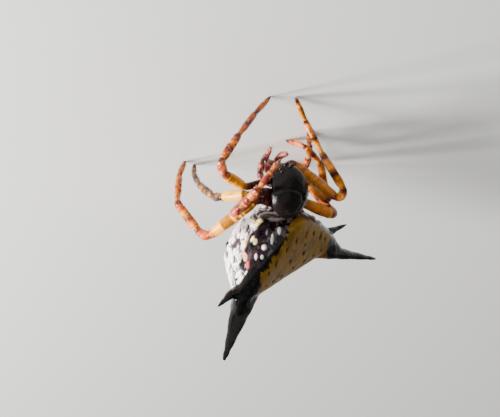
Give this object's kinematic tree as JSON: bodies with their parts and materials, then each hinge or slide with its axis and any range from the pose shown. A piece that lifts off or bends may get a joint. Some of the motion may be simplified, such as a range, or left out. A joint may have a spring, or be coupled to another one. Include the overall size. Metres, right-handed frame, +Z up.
{
  "type": "spiny orb weaver spider",
  "caption": "Still life-size spiny orb weaver spider with a wide spined plate over its abdomen, its head held low and its legs folded under it.",
  "frame": {"origin": "middle of the whole model in plan, on the floor under its toes", "axes": "+Z up from the floor; the head points down and toward -Y, and the abdomen is raised toward +Y"},
  "size_m": [0.0118, 0.0164, 0.0149],
  "materials": {
    "black_shell": "glossy black chitin",
    "yellow_shell": "hard mustard-yellow plate over a mottled dark underside",
    "leg_orange": "banded orange and red-brown chitin",
    "leg_red": "dark red-brown chitin",
    "mouth_red": "red-brown chitin",
    "eye_black": "wet black lens"
  },
  "bodies": {
    "root": {"abdomen": "yellow_shell", "carapace": "black_shell", "left_back_middle_eye": "eye_black", "left_back_side_eye": "eye_black", "left_chelicera": "mouth_red", "left_front_middle_eye": "eye_black", "left_front_side_eye": "eye_black", "left_front_spine": "black_shell", "left_leg_1_coxa": "leg_red", "left_leg_1_femur": "leg_orange", "left_leg_1_foot": "leg_orange", "left_leg_1_tibia": "leg_orange", "left_leg_2_coxa": "leg_red", "left_leg_2_femur": "leg_orange", "left_leg_2_foot": "leg_orange", "left_leg_2_tibia": "leg_orange", "left_leg_3_coxa": "leg_red", "left_leg_3_femur": "leg_orange", "left_leg_3_foot": "leg_orange", "left_leg_3_tibia": "leg_orange", "left_leg_4_coxa": "leg_red", "left_leg_4_femur": "leg_orange", "left_leg_4_foot": "leg_orange", "left_leg_4_tibia": "leg_orange", "left_long_spine": "black_shell", "left_palp": "mouth_red", "left_rear_spine": "black_shell", "pedicel": "black_shell", "right_back_middle_eye": "eye_black", "right_back_side_eye": "eye_black", "right_chelicera": "mouth_red", "right_front_middle_eye": "eye_black", "right_front_side_eye": "eye_black", "right_front_spine": "black_shell", "right_leg_1_coxa": "leg_red", "right_leg_1_femur": "leg_orange", "right_leg_1_foot": "leg_orange", "right_leg_1_tibia": "leg_orange", "right_leg_2_coxa": "leg_red", "right_leg_2_femur": "leg_orange", "right_leg_2_foot": "leg_orange", "right_leg_2_tibia": "leg_orange", "right_leg_3_coxa": "leg_red", "right_leg_3_femur": "leg_orange", "right_leg_3_foot": "leg_orange", "right_leg_3_tibia": "leg_orange", "right_leg_4_coxa": "leg_red", "right_leg_4_femur": "leg_orange", "right_leg_4_foot": "leg_orange", "right_leg_4_tibia": "leg_orange", "right_long_spine": "black_shell", "right_palp": "mouth_red", "right_rear_spine": "black_shell", "spinnerets": "black_shell", "sternum": "leg_red"}
  },
  "joints": []
}
